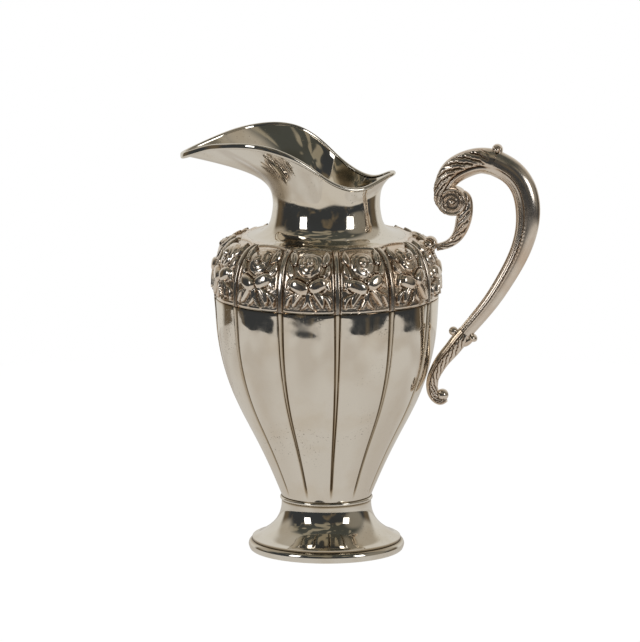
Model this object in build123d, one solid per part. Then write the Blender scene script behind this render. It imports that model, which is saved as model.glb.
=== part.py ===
from build123d import *
from math import cos, degrees, radians, sin
import os

# Silver water pitcher: a lobed body on a spun foot, a shoulder chased with roses, a wide
# pouring mouth and a cast scroll handle. Millimetres, +Z up, origin at the centre of the
# foot's resting face. The spout points along -X and the handle lies along +X.

# Sheet
SHEET = 1.2
FLOOR = 1.5

# Foot ring and spun foot
RING_HEIGHT = 6.4
RING_RADIUS = 49.6
RING_LEDGE_RADIUS = 47.2
RING_INNER_RADIUS = 44.0
RING_BASE_RADIUS = 48.2
FOOT_HEIGHT = 26.0
FOOT_TOP_RADIUS = 28.5
FOOT_STEM_HEIGHT = 8.0
FOOT_STEM_FLARE = 1.0
FOOT_SWEEP_RUN = 11.5
FOOT_SWEEP_RISE = 6.0
FOOT_EDGE_RISE = 1.6

# Collar bead between the foot and the body
COLLAR_HEIGHT = 2.3
COLLAR_BULGE = 0.9
COLLAR_WIDTH = 2.6

# Lobed body: its sides are given as shares of the height and of the change in radius
LOBES = 12
BOWL_HEIGHT = 128.8
BOWL_TOP_RADIUS = 71.4
BOWL_SIDE = ((0.16, 0.207), (0.32, 0.442), (0.48, 0.684), (0.64, 0.858), (0.82, 0.965))
FLUTE_DEPTH = 1.3
BAND_HEIGHT = 39.1
BAND_SIDE = ((0.28, 1.019), (0.52, 0.953), (0.75, 0.785), (0.91, 0.514))
BAND_TOP_RADIUS = 50.0

# Roses chased on each lobe of the shoulder, as mounds that stand out of its sheet: places
# as a share of the shoulder's side line
BLOOM_SHARE = 0.66
BLOOM_RADIUS = 10.0
BLOOM_RISE = 3.2
PETAL_SHARE = 0.37
PETAL_RADIUS = 5.0
PETAL_RISE = 2.4
PETAL_SPREAD = 5.8

# Neck
NECK_RADIUS = 33.9
FLANGE_CLEARANCE = 0.08
NECK_HEIGHT = 19.4
NECK_FLANGE_RISE = 1.9
NECK_FLANGE_RUN = 6.0

# Mouth: for each bearing from the handle side, the rim's reach from the axis, its height
# above the throat and the slope at which the sheet arrives there
RIM_STATIONS = (
    (0, 44.0, 21.4, 42),
    (15, 41.6, 20.0, 45),
    (30, 38.6, 16.7, 50),
    (45, 36.9, 14.8, 56),
    (60, 36.0, 16.0, 62),
    (75, 36.1, 20.0, 68),
    (90, 38.0, 26.6, 68),
    (105, 45.0, 34.8, 60),
    (120, 55.6, 41.8, 50),
    (135, 64.2, 43.5, 43),
    (150, 71.2, 41.4, 34),
    (165, 79.2, 36.8, 22),
    (180, 92.3, 30.0, 10.6),
)
THROAT_RISE_SHARE = 0.53
FLARE_REACH_SHARE = 0.79
THROAT_LIMIT_SHARE = 0.85
RIM_WIRE_WIDTH = 2.6
RIM_WIRE_RISE = 1.3
RIM_SEAT_GAP = 0.12

# Handle, in the plane through the axis: place out from the body's side and up from the
# top of the shoulder, width in that plane, depth
SCROLL_STATIONS = (
    (35.6, 49.1, 16.6, 13.4),
    (27.6, 50.1, 17.0, 13.8),
    (18.1, 47.7, 17.4, 14.0),
    (9.5, 42.4, 16.6, 13.6),
    (4.2, 34.4, 13.6, 12.6),
    (2.6, 26.4, 10.6, 11.6),
    (5.2, 20.0, 8.0, 10.6),
    (10.2, 18.0, 6.0, 9.6),
)
GRIP_STATIONS = (
    (35.6, 49.1, 16.6, 13.4),
    (46.0, 43.6, 16.2, 13.4),
    (53.8, 34.0, 16.0, 13.2),
    (57.0, 21.6, 15.8, 12.8),
    (56.3, 6.7, 14.3, 12.0),
    (51.5, -9.0, 12.6, 11.2),
    (43.5, -24.6, 11.4, 10.4),
    (33.5, -40.4, 10.4, 9.6),
    (21.0, -56.2, 9.4, 9.0),
    (14.3, -64.4, 8.8, 8.6),
)
NECK_LEAF_STATIONS = (
    (17.0, 30.4, 4.0, 6.0),
    (17.8, 22.4, 8.6, 8.0),
    (16.4, 13.2, 10.6, 8.4),
    (14.5, 5.8, 9.0, 7.8),
    (11.2, 0.0, 7.3, 7.0),
    (6.0, -4.0, 5.9, 6.4),
    (-0.6, -6.0, 5.2, 6.0),
)
TAIL_STATIONS = (
    (14.3, -64.4, 9.8, 9.8),
    (9.0, -71.4, 9.2, 9.4),
    (3.4, -78.2, 8.2, 8.6),
    (-1.0, -85.2, 7.4, 7.8),
    (-3.8, -92.0, 6.6, 7.0),
    (-3.5, -98.2, 6.6, 6.8),
    (-0.8, -102.4, 6.2, 6.6),
)
GRIP_WALL = 1.4
SPIGOT_LENGTH = 6.0
SPIGOT_CLEARANCE = 0.1
VOLUTE_CENTRE = (9.5, 24.2)
VOLUTE_RADIUS = 7.4
VOLUTE_DEPTH = 11.4
WHORL_RADII = (5.8, 4.7, 3.6, 2.6)
WHORL_WIRE = 1.4
VOLUTE_EYE_RADIUS = 1.6
SHOULDER_BUD = (-5.8, -3.4, 5.0)
TOP_BUD = (38.2, 57.4, 3.9)
TAIL_BALL = (2.8, -101.8, 3.5)
CALYX_INNER_BUD = (10.2, -59.2, 2.6)
CALYX_OUTER_BUD = (22.0, -64.4, 2.3)

# Heights that follow from the pieces stacked on each other
COLLAR_BASE = RING_HEIGHT + FOOT_HEIGHT
BOWL_BASE = COLLAR_BASE + COLLAR_HEIGHT
BAND_BASE = BOWL_BASE + BOWL_HEIGHT
NECK_BASE = BAND_BASE + BAND_HEIGHT
MOUTH_BASE = NECK_BASE + NECK_HEIGHT
BOWL_BASE_RADIUS = FOOT_TOP_RADIUS - 0.1
FLANGE_RADIUS = BAND_TOP_RADIUS - FLANGE_CLEARANCE
LOBE_ANGLE = 360 / LOBES


def spin(face):
    """A ring turned about the upright axis from a face drawn on the XZ plane."""
    return revolve(face, Axis.Z)


def foot_ring():
    """Applied moulding that the foot is soldered into, half round outside."""
    half = RING_HEIGHT / 2
    outline = Polyline(
        (RING_BASE_RADIUS, 0),
        (RING_INNER_RADIUS, 0),
        (RING_INNER_RADIUS, RING_HEIGHT - SHEET),
        (RING_LEDGE_RADIUS - SHEET, RING_HEIGHT - SHEET),
        (RING_LEDGE_RADIUS - SHEET, RING_HEIGHT),
        (RING_LEDGE_RADIUS, RING_HEIGHT),
    )
    bulge = ThreePointArc((RING_LEDGE_RADIUS, RING_HEIGHT), (RING_RADIUS, half), (RING_BASE_RADIUS, 0))
    return spin(Plane.XZ * make_face([*outline.edges(), bulge]))


def foot():
    """Spun trumpet foot: a short stem that sweeps out to the ring's ledge."""
    edge_radius = RING_LEDGE_RADIUS
    edge_height = RING_HEIGHT + FOOT_EDGE_RISE
    stem = COLLAR_BASE - FOOT_STEM_HEIGHT
    inner_stem = FOOT_TOP_RADIUS - SHEET
    outer = Spline(
        (FOOT_TOP_RADIUS, COLLAR_BASE),
        (FOOT_TOP_RADIUS + FOOT_STEM_FLARE, stem),
        (edge_radius - FOOT_SWEEP_RUN, edge_height + FOOT_SWEEP_RISE),
        (edge_radius, edge_height),
        tangents=[(0, -1), (0.9, -0.45)],
    )
    inner = Spline(
        (inner_stem, COLLAR_BASE),
        (inner_stem + FOOT_STEM_FLARE, stem - SHEET),
        (edge_radius - FOOT_SWEEP_RUN - SHEET / 2, edge_height + FOOT_SWEEP_RISE - SHEET),
        (edge_radius - SHEET, edge_height - SHEET),
        tangents=[(0, -1), (0.9, -0.45)],
    )
    lip = Polyline(
        (edge_radius, edge_height),
        (edge_radius, RING_HEIGHT),
        (edge_radius - SHEET, RING_HEIGHT),
        (edge_radius - SHEET, edge_height - SHEET),
    )
    top = Line((FOOT_TOP_RADIUS, COLLAR_BASE), (inner_stem, COLLAR_BASE))
    return spin(Plane.XZ * make_face([outer, *lip.edges(), inner, top]))


def collar_bead():
    """Solid wire ring that covers the joint of foot and body."""
    outer = FOOT_TOP_RADIUS
    inner = outer - COLLAR_WIDTH
    middle = COLLAR_BASE + COLLAR_HEIGHT / 2
    sides = Polyline((outer, COLLAR_BASE), (inner, COLLAR_BASE), (inner, BOWL_BASE), (outer, BOWL_BASE))
    bulge = ThreePointArc((outer, BOWL_BASE), (outer + COLLAR_BULGE, middle), (outer, COLLAR_BASE))
    return spin(Plane.XZ * make_face([*sides.edges(), bulge]))


def lobed_section(radius, height, groove):
    """Flat section of the body: one arc a lobe, meeting at the flutes."""

    def point(bearing, reach):
        return (reach * cos(radians(bearing)), reach * sin(radians(bearing)))

    arcs = []
    for lobe in range(LOBES):
        middle = lobe * LOBE_ANGLE
        start = point(middle - LOBE_ANGLE / 2, radius - groove)
        end = point(middle + LOBE_ANGLE / 2, radius - groove)
        arcs.append(ThreePointArc(start, point(middle, radius), end))
    return Pos(0, 0, height) * make_face(arcs)


def bowl_profile():
    """Side of the body from the collar to the chased band, as radius against height."""
    start = (BOWL_BASE_RADIUS, BOWL_BASE)
    spread = BOWL_TOP_RADIUS - BOWL_BASE_RADIUS
    side = [(start[0] + out * spread, start[1] + rise * BOWL_HEIGHT) for rise, out in BOWL_SIDE]
    return Spline(start, *side, (BOWL_TOP_RADIUS, BAND_BASE), tangents=[(0.42, 1), (0, 1)])


def band_profile():
    """Side of the shoulder from the band's lower line to the edge of the neck."""
    start = (BOWL_TOP_RADIUS, BAND_BASE)
    spread = BOWL_TOP_RADIUS - BAND_TOP_RADIUS
    side = [(BAND_TOP_RADIUS + out * spread, start[1] + rise * BAND_HEIGHT) for rise, out in BAND_SIDE]
    return Spline(start, *side, (BAND_TOP_RADIUS, NECK_BASE), tangents=[(0, 1), (-1, 0.16)])


def lobed_solid(profile, shares, inset, groove_at):
    """Loft of lobed sections along a profile, moved in by inset square to it."""
    sections = []
    for share in shares:
        place = profile @ share
        along = profile % share
        radius = place.X - inset * along.Y
        height = place.Y + inset * along.X
        sections.append(lobed_section(radius, height, groove_at(share)))
    return loft(sections)


def bowl_groove(share):
    """Flutes run out just above the collar and are deepest under the band."""
    return FLUTE_DEPTH * share**0.6


def band_groove(share):
    """Flutes run on over the shoulder and close where the neck begins."""
    return FLUTE_DEPTH * (1 - share**3)


def bowl():
    """Raised body with its own flat floor."""
    profile = bowl_profile()
    shares = (0, 0.06, 0.18, 0.34, 0.5, 0.66, 0.83, 1)
    floor_share = FLOOR / BOWL_HEIGHT
    inner_shares = (floor_share, *shares[1:])
    outer = lobed_solid(profile, shares, 0, bowl_groove)
    inner = lobed_solid(profile, inner_shares, SHEET, bowl_groove)
    return outer - inner


BAND_SHARES = (0, 0.18, 0.36, 0.54, 0.7, 0.84, 1)


def mound(share, radius, rise, aside):
    """A ball sunk into the sheet of one lobe, so that only its rise stands proud."""
    profile = band_profile()
    place = profile @ share
    along = profile % share
    sink = radius - rise
    centre = (place.X - sink * along.Y, aside, place.Y + sink * along.X)
    return Pos(*centre) * Sphere(radius)


def rose_mounds():
    """The bloom of each lobe and the two folded petals under it.

    The bud at the handle's foot takes the place of the bloom on the first lobe.
    """
    for lobe in range(LOBES):
        turn = Rot(0, 0, lobe * LOBE_ANGLE)
        if lobe > 0:
            yield turn * mound(BLOOM_SHARE, BLOOM_RADIUS, BLOOM_RISE, 0)
        for aside in (-PETAL_SPREAD, PETAL_SPREAD):
            yield turn * mound(PETAL_SHARE, PETAL_RADIUS, PETAL_RISE, aside)


def rose_band():
    """Chased shoulder, hollow inside, with a round hole for the neck."""
    profile = band_profile()
    outer = lobed_solid(profile, BAND_SHARES, 0, band_groove)
    inner = lobed_solid(profile, BAND_SHARES, SHEET, band_groove)
    hole = Pos(0, 0, NECK_BASE) * Cylinder(BAND_TOP_RADIUS, BAND_HEIGHT)
    return outer.fuse(*rose_mounds()) - inner - hole


def neck_wall(outer_base, throat_radius):
    """Edge curve of the neck from its flange up to the throat."""
    return Spline(
        (FLANGE_RADIUS, outer_base),
        (throat_radius + NECK_FLANGE_RUN, outer_base + NECK_FLANGE_RISE + 1.6),
        (throat_radius, MOUTH_BASE),
        tangents=[(-1, 0.16), (0, 1)],
    )


def bearing_plane(bearing):
    """Upright plane through the axis, drawn as reach against height."""
    turn = radians(bearing)
    outward = (cos(turn), sin(turn), 0)
    return Plane(origin=(0, 0, 0), x_dir=outward, z_dir=(sin(turn), -cos(turn), 0))


def rim_frame(reach, rise, slope):
    """End of the mouth's sheet, with its direction and the way into the mouth."""
    along = Vector(cos(radians(slope)), sin(radians(slope)))
    inward = Vector(-along.Y, along.X)
    end = Vector(reach, MOUTH_BASE + rise) - along * RIM_WIRE_RISE
    return end, along, inward


def sheet_section(bearing, reach, rise, slope):
    """Thin section of the neck and the mouth on one bearing, from flange to rim."""
    end, along, inward = rim_frame(reach, rise, slope)
    pull = FLARE_REACH_SHARE * (end.X - NECK_RADIUS) / along.X
    outer_pull = end - along * pull
    climb = min(
        THROAT_RISE_SHARE * (end.Y - MOUTH_BASE),
        THROAT_LIMIT_SHARE * (outer_pull.Y - MOUTH_BASE),
    )
    inner_radius = NECK_RADIUS - SHEET
    inner_end = end + inward * SHEET
    outer = Bezier(
        (NECK_RADIUS, MOUTH_BASE),
        (NECK_RADIUS, MOUTH_BASE + climb),
        (outer_pull.X, outer_pull.Y),
        (end.X, end.Y),
    )
    inner = Bezier(
        (inner_radius, MOUTH_BASE),
        (inner_radius, MOUTH_BASE + climb + SHEET / 2),
        (outer_pull.X + inward.X * SHEET, outer_pull.Y + inward.Y * SHEET),
        (inner_end.X, inner_end.Y),
    )
    rim_edge = Line((end.X, end.Y), (inner_end.X, inner_end.Y))
    outer_neck = neck_wall(NECK_BASE, NECK_RADIUS)
    inner_neck = neck_wall(NECK_BASE - SHEET, inner_radius)
    flange_edge = Line((FLANGE_RADIUS, NECK_BASE - SHEET), (FLANGE_RADIUS, NECK_BASE))
    edges = [outer_neck, outer, rim_edge, inner, inner_neck, flange_edge]
    return bearing_plane(bearing) * make_face(edges)


def wire_section(bearing, reach, rise, slope):
    """Half round section of the wire soldered along the mouth's edge."""
    end, along, inward = rim_frame(reach, rise, slope)
    seat = end + inward * (SHEET / 2) + along * RIM_SEAT_GAP
    half = inward * (RIM_WIRE_WIDTH / 2)
    low = seat - half
    high = seat + half
    crown = seat + along * RIM_WIRE_RISE
    dome = ThreePointArc((low.X, low.Y), (crown.X, crown.Y), (high.X, high.Y))
    flat = Line((high.X, high.Y), (low.X, low.Y))
    return bearing_plane(bearing) * make_face([dome, flat])


def around_mouth(section):
    """Loft of a section round one side of the mouth, cut at the middle and mirrored.

    Two stations past each end keep the surface square to the middle plane.
    """
    before = [(-bearing, *rest) for bearing, *rest in RIM_STATIONS[2:0:-1]]
    after = [(360 - bearing, *rest) for bearing, *rest in RIM_STATIONS[-2:-4:-1]]
    half = loft([section(*station) for station in (*before, *RIM_STATIONS, *after)])
    room = 6 * BAND_TOP_RADIUS
    side = Pos(0, room / 2, MOUTH_BASE) * Box(room, room, room)
    kept = half & side
    return kept + mirror(kept, Plane.XZ)


def handle_point(across, up):
    """Point of the handle, measured from the body's side and the top of the shoulder."""
    return (BOWL_TOP_RADIUS + across, 0, NECK_BASE + up)


def limb(stations, inset=0, before=None, after=None):
    """Loft of oval sections square to the line through the stations.

    The stations before and after belong to the pieces it is joined to.
    """
    line = [before or stations[0], *stations, after or stations[-1]]
    sections = []
    for last, (across, up, width, depth), following in zip(line, stations, line[2:]):
        along = Vector(following[0] - last[0], 0, following[1] - last[1])
        sideways = Vector(along.Z, 0, -along.X)
        plane = Plane(origin=handle_point(across, up), x_dir=sideways, z_dir=along)
        sections.append(plane * Ellipse(width / 2 - inset, depth / 2 - inset))
    return loft(sections)


def ball(place):
    """Cast bud or bead."""
    across, up, radius = place
    return Pos(*handle_point(across, up)) * Sphere(radius)


def spigot(seat, outside, inside):
    """Peg of a casting that stands in the end of the hollow grip."""
    along = Vector(inside[0] - outside[0], 0, inside[1] - outside[1])
    plane = Plane(origin=handle_point(*seat[:2]), x_dir=(0, 1, 0), z_dir=along)
    radius = min(seat[2:]) / 2 - GRIP_WALL - SPIGOT_CLEARANCE
    return extrude(plane * Circle(radius), SPIGOT_LENGTH)


def handle_grip():
    """Hollow grip from the top of the scroll down to the lower leaf."""
    ends = {"before": SCROLL_STATIONS[1], "after": TAIL_STATIONS[1]}
    return limb(GRIP_STATIONS, **ends) - limb(GRIP_STATIONS, GRIP_WALL, **ends)


def volute_disc():
    """Round boss in the curl of the scroll, with a flat face on each side."""
    centre = Pos(*handle_point(*VOLUTE_CENTRE))
    return centre * Rot(90, 0, 0) * Cylinder(VOLUTE_RADIUS, VOLUTE_DEPTH)


def volute_whorl(side):
    """Raised spiral on one face of the volute, in half turns that close in on the eye."""
    middle, _, up = handle_point(*VOLUTE_CENTRE)
    x = middle + WHORL_RADII[0]
    turn = -1
    arcs = []
    for radius in WHORL_RADII:
        end = x + 2 * turn * radius
        arcs.append(ThreePointArc((x, up), (x + turn * radius, up - turn * radius), (end, up)))
        x = end
        turn = -turn
    face = Plane(origin=(0, side * VOLUTE_DEPTH / 2, 0), x_dir=(1, 0, 0), z_dir=(0, -1, 0))
    path = face * Wire(arcs)
    start = Plane(origin=path @ 0, z_dir=path % 0)
    spiral = sweep(start * Circle(WHORL_WIRE / 2), path=path)
    return spiral + Pos(path @ 1) * Sphere(VOLUTE_EYE_RADIUS)


def handle_scroll():
    """Upper casting: arch, curl and volute, with a peg into the grip."""
    seat = GRIP_STATIONS[0]
    arch = limb(SCROLL_STATIONS, before=GRIP_STATIONS[1])
    peg = spigot(seat, SCROLL_STATIONS[1], GRIP_STATIONS[1])
    return arch + volute_disc() + volute_whorl(1) + volute_whorl(-1) + peg


def handle_tail():
    """Lower casting: leaf sleeve, stem and the ball the leaf curls round."""
    seat = GRIP_STATIONS[-1]
    stem = limb(TAIL_STATIONS, before=GRIP_STATIONS[-2])
    peg = spigot(seat, TAIL_STATIONS[1], GRIP_STATIONS[-2])
    return stem + ball(TAIL_BALL) + peg


def largest(shape):
    """The biggest solid of a shape that a cut has left in pieces."""
    return max(shape.solids(), key=lambda solid: solid.volume)


def write(name, solid):
    """One file a piece."""
    export_step(solid, f"parts/{name}.step")


def main():
    os.makedirs("parts", exist_ok=True)
    body = bowl()
    band = rose_band()
    scroll = handle_scroll()
    grip = handle_grip()
    tail = handle_tail() - body
    neck_leaf = largest(limb(NECK_LEAF_STATIONS) - scroll)
    write("foot_ring", foot_ring())
    write("foot", foot())
    write("collar_bead", collar_bead())
    write("bowl", body)
    write("rose_band", band)
    write("neck_and_spout", around_mouth(sheet_section))
    write("rim_wire", around_mouth(wire_section))
    write("handle_scroll", scroll)
    write("handle_grip", grip)
    write("handle_neck_leaf", neck_leaf)
    write("handle_tail", tail)
    write("shoulder_bud", largest(ball(SHOULDER_BUD) - band - neck_leaf))
    write("top_bud", largest(ball(TOP_BUD) - scroll - grip))
    write("calyx_inner_bud", largest(ball(CALYX_INNER_BUD) - grip - tail))
    write("calyx_outer_bud", largest(ball(CALYX_OUTER_BUD) - grip - tail))


main()
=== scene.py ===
from math import cos, pi, radians, sin

import bpy
import numpy as np
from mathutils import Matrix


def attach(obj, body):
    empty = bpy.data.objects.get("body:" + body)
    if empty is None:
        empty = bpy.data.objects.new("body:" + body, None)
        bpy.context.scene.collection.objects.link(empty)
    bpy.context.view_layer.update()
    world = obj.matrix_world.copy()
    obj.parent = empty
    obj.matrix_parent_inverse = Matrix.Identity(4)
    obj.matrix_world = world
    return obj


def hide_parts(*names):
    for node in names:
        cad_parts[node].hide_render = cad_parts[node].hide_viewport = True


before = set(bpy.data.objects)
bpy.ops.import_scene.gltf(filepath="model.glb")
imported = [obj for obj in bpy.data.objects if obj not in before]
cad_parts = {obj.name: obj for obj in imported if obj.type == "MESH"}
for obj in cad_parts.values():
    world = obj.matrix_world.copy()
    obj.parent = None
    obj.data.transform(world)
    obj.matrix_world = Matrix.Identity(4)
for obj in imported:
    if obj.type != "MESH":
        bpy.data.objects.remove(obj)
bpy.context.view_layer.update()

# Foot ring
# The moulding that the pitcher stands on: a half-round silver strip bent to a ring, with a
# ledge on top that the spun foot is soldered into.

MM = 0.001
MERGE_REACH = 0.005
SHARP_EDGE = radians(50)
HAS_HOLLOWS = "hollow"
RING_OUTLINE = [
    (48.2, 0.0), (44.3, 0.0), (44.0, 0.3), (44.0, 5.2), (46.0, 5.2), (46.0, 6.4), (46.9, 6.4),
    (47.3, 6.2), (48.3, 5.9), (49.1, 5.0), (49.5, 3.9), (49.6, 3.2), (49.5, 2.4), (49.1, 1.2),
    (48.7, 0.4),
]
RING_HOLLOWS = [(47.0, 6.4), (46.0, 5.8)]
RING_HOLLOW_REACH = 1.2


def alone(piece):
    """Only this piece is selected and active."""
    bpy.ops.object.select_all(action="DESELECT")
    piece.select_set(True)
    bpy.context.view_layer.objects.active = piece


def as_piece(name, points, edges, faces):
    """A new object whose mesh has these points, in millimetres."""
    mesh = bpy.data.meshes.new(name)
    mesh.from_pydata([tuple(point) for point in np.asarray(points) * MM], edges, faces)
    piece = bpy.data.objects.new(name, mesh)
    bpy.context.collection.objects.link(piece)
    alone(piece)
    return piece


def outward(piece, merge=False):
    """Faces point out of the metal, and the surface is smooth but for its sharp edges."""
    alone(piece)
    bpy.ops.object.mode_set(mode="EDIT")
    bpy.ops.mesh.select_all(action="SELECT")
    if merge:
        bpy.ops.mesh.remove_doubles(threshold=MERGE_REACH * MM)
    bpy.ops.mesh.normals_make_consistent(inside=False)
    bpy.ops.object.mode_set(mode="OBJECT")
    bpy.ops.object.shade_smooth_by_angle(angle=SHARP_EDGE)


def grime(piece, corners, reach):
    """Marks the points near these corners of a turned outline as hollows."""
    places = np.zeros(3 * len(piece.data.vertices), np.float32)
    piece.data.vertices.foreach_get("co", places)
    places = places.reshape(-1, 3) / MM
    radius = np.hypot(places[:, 0], places[:, 1])
    near = [np.hypot(radius - corner[0], places[:, 2] - corner[1]) / reach for corner in corners]
    marks = piece.data.attributes.new(HAS_HOLLOWS, "FLOAT", "POINT")
    marks.data.foreach_set("value", np.exp(-np.min(near, axis=0) ** 2).astype(np.float32))


def turned(name, outline, steps=288):
    """A piece turned on the lathe from its closed outline of radius and height."""
    points = [(radius, 0, height) for radius, height in outline]
    edges = [(i, (i + 1) % len(points)) for i in range(len(points))]
    piece = as_piece(name, points, edges, [])
    bpy.ops.object.mode_set(mode="EDIT")
    bpy.ops.mesh.select_all(action="SELECT")
    bpy.ops.mesh.spin(steps=steps, angle=2 * pi, center=(0, 0, 0), axis=(0, 0, 1))
    bpy.ops.object.mode_set(mode="OBJECT")
    outward(piece, merge=True)
    return piece


def node(tree, kind, **settings):
    """A shader node with its properties and unlinked inputs set."""
    made = tree.nodes.new(kind)
    for name, value in settings.items():
        if hasattr(made, name):
            setattr(made, name, value)
        else:
            made.inputs[name.replace("_", " ")].default_value = value
    return made


POLISH_ROUGHNESS = 0.03
HAIRLINE_ROUGHNESS = 0.06
HOLLOW_ROUGHNESS = 0.4
PIT_DEPTH = 0.12


def tarnish_group():
    """What age does to silver: warm film in patches, dark hollows, specks and hairlines."""
    group = bpy.data.node_groups.new("silver_tarnish", "ShaderNodeTree")
    for name in ("Bright", "Warm", "Dark"):
        group.interface.new_socket(name, in_out="INPUT", socket_type="NodeSocketColor")
    for name in ("Hollow", "Film", "Pitting"):
        group.interface.new_socket(name, in_out="INPUT", socket_type="NodeSocketFloat")
    group.interface.new_socket("Color", in_out="OUTPUT", socket_type="NodeSocketColor")
    for name in ("Roughness", "Height"):
        group.interface.new_socket(name, in_out="OUTPUT", socket_type="NodeSocketFloat")
    link = group.links.new
    given = node(group, "NodeGroupInput")
    made = node(group, "NodeGroupOutput")
    place = node(group, "ShaderNodeTexCoord").outputs["Object"]

    def noise(scale, detail, low, high):
        grain = node(group, "ShaderNodeTexNoise", Scale=scale, Detail=detail)
        link(place, grain.inputs["Vector"])
        limits = node(group, "ShaderNodeMapRange", From_Min=low, From_Max=high)
        link(grain.outputs["Fac"], limits.inputs["Value"])
        return limits.outputs["Result"]

    def blend(factor, first, second):
        mix = node(group, "ShaderNodeMix", data_type="RGBA")
        link(factor, mix.inputs["Factor"])
        link(first, mix.inputs["A"])
        link(second, mix.inputs["B"])
        return mix.outputs["Result"]

    def arithmetic(operation, first, second):
        step = node(group, "ShaderNodeMath", operation=operation)
        for socket, value in zip(step.inputs, (first, second)):
            if isinstance(value, float):
                socket.default_value = value
            else:
                link(value, socket)
        return step.outputs["Value"]

    patches = noise(scale=45, detail=4, low=0.48, high=0.78)
    patches = arithmetic("MULTIPLY", patches, given.outputs["Film"])
    in_hollow = arithmetic("POWER", given.outputs["Hollow"], 1.5)
    near_hollow = arithmetic("MULTIPLY", given.outputs["Hollow"], 1.6)
    specks = noise(scale=900, detail=2, low=0.64, high=0.72)
    speckled = noise(scale=26, detail=1, low=0.5, high=0.66)
    specks = arithmetic("MULTIPLY", specks, given.outputs["Pitting"])
    specks = arithmetic("MULTIPLY", specks, speckled)
    warmth = arithmetic("MINIMUM", arithmetic("ADD", patches, near_hollow), 1.0)
    darkness = arithmetic("MINIMUM", arithmetic("ADD", in_hollow, specks), 1.0)
    film = blend(warmth, given.outputs["Bright"], given.outputs["Warm"])
    link(blend(darkness, film, given.outputs["Dark"]), made.inputs["Color"])
    hairlines = noise(scale=260, detail=5, low=0.3, high=0.8)
    worn = arithmetic("MULTIPLY_ADD", hairlines, HAIRLINE_ROUGHNESS)
    worn.node.inputs[2].default_value = POLISH_ROUGHNESS
    rough = arithmetic("MULTIPLY_ADD", darkness, HOLLOW_ROUGHNESS)
    link(worn, rough.node.inputs[2])
    link(rough, made.inputs["Roughness"])
    dents = noise(scale=34, detail=1.5, low=0.2, high=0.8)
    pits = arithmetic("MULTIPLY", specks, -PIT_DEPTH)
    link(arithmetic("ADD", dents, pits), made.inputs["Height"])
    return group


TARNISH = tarnish_group()


def silver(name, bright, warm, dark, film, pitting, dent, satin=0.0):
    """Polished sterling with the tarnish that this part of the pitcher has."""
    material = bpy.data.materials.new(name)
    material.use_nodes = True
    tree = material.node_tree
    surface = tree.nodes["Principled BSDF"]
    surface.inputs["Metallic"].default_value = 1.0
    age = node(tree, "ShaderNodeGroup", node_tree=TARNISH)
    age.inputs["Bright"].default_value = (*bright, 1)
    age.inputs["Warm"].default_value = (*warm, 1)
    age.inputs["Dark"].default_value = (*dark, 1)
    age.inputs["Film"].default_value = film
    age.inputs["Pitting"].default_value = pitting
    hollow = node(tree, "ShaderNodeAttribute", attribute_name=HAS_HOLLOWS)
    bump = node(tree, "ShaderNodeBump", Strength=1.0, Distance=dent * MM)
    tree.links.new(hollow.outputs["Fac"], age.inputs["Hollow"])
    tree.links.new(age.outputs["Color"], surface.inputs["Base Color"])
    finish = node(tree, "ShaderNodeMath", operation="ADD")
    finish.inputs[1].default_value = satin
    tree.links.new(age.outputs["Roughness"], finish.inputs[0])
    tree.links.new(finish.outputs["Value"], surface.inputs["Roughness"])
    tree.links.new(age.outputs["Height"], bump.inputs["Height"])
    tree.links.new(bump.outputs["Normal"], surface.inputs["Normal"])
    return material


FOOT_SILVER = silver(
    "foot_silver", bright=(0.86, 0.82, 0.74), warm=(0.62, 0.50, 0.33), dark=(0.10, 0.075, 0.05),
    film=0.5, pitting=0.35, dent=0.12,
)


def fit(piece, material, slot, *nodes):
    """The piece takes its silver and the place of its solids. Its slot is not used."""
    piece.data.materials.append(material)
    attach(piece, "root")
    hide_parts(*nodes)


ring = turned("foot_ring_moulding", RING_OUTLINE)
grime(ring, RING_HOLLOWS, RING_HOLLOW_REACH)
fit(ring, FOOT_SILVER, "foot_silver", "foot_ring")

# Foot
# A trumpet foot spun from sheet silver. Its edge drops into the ring's ledge, and a turned
# line runs round the top of its stem.

SHEET = 1.2
FOOT_SIDE = [
    (28.5, 32.4), (28.6, 28.6), (29.6, 23.6), (31.9, 18.9), (35.7, 14.6), (40.3, 11.2), (44.6, 8.7),
    (47.2, 8.0),
]
FOOT_EDGE = [(47.2, 6.45), (46.05, 6.45)]
FOOT_HOLLOWS = [(47.2, 6.6), FOOT_SIDE[0]]
FOOT_HOLLOW_REACH = 0.8


def spline(knots, values, places):
    """Natural cubic through the values at the knots, read at the places."""
    knots, values = np.asarray(knots, float), np.asarray(values, float)
    count, gaps = len(knots), np.diff(knots)
    matrix, right = np.eye(count), np.zeros_like(values)
    for i in range(1, count - 1):
        before, after = gaps[i - 1], gaps[i]
        matrix[i, i - 1 : i + 2] = before, 2 * (before + after), after
        right[i] = 6 * ((values[i + 1] - values[i]) / after - (values[i] - values[i - 1]) / before)
    bend = np.linalg.solve(matrix, right)
    left = np.clip(np.searchsorted(knots, places) - 1, 0, count - 2)
    gap = gaps[left]
    far = (knots[left + 1] - places) / gap
    if values.ndim > 1:
        gap, far = gap[:, None], far[:, None]
    near = 1 - far
    straight = far * values[left] + near * values[left + 1]
    return straight + ((far**3 - far) * bend[left] + (near**3 - near) * bend[left + 1]) * gap**2 / 6


def smooth_line(points, count):
    """Evenly spaced points on a smooth line through the given ones."""
    points = np.array(points, float)
    knots = np.concatenate(([0], np.cumsum(np.linalg.norm(np.diff(points[:, :2], axis=0), axis=1))))
    return spline(knots, points, np.linspace(0, knots[-1], count))


def inset(line, distance):
    """A side line moved into the metal, square to itself."""
    along = np.gradient(line, axis=0)
    along /= np.linalg.norm(along, axis=1)[:, None]
    return line + distance * np.stack([-along[:, 1], along[:, 0]], axis=1)


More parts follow.
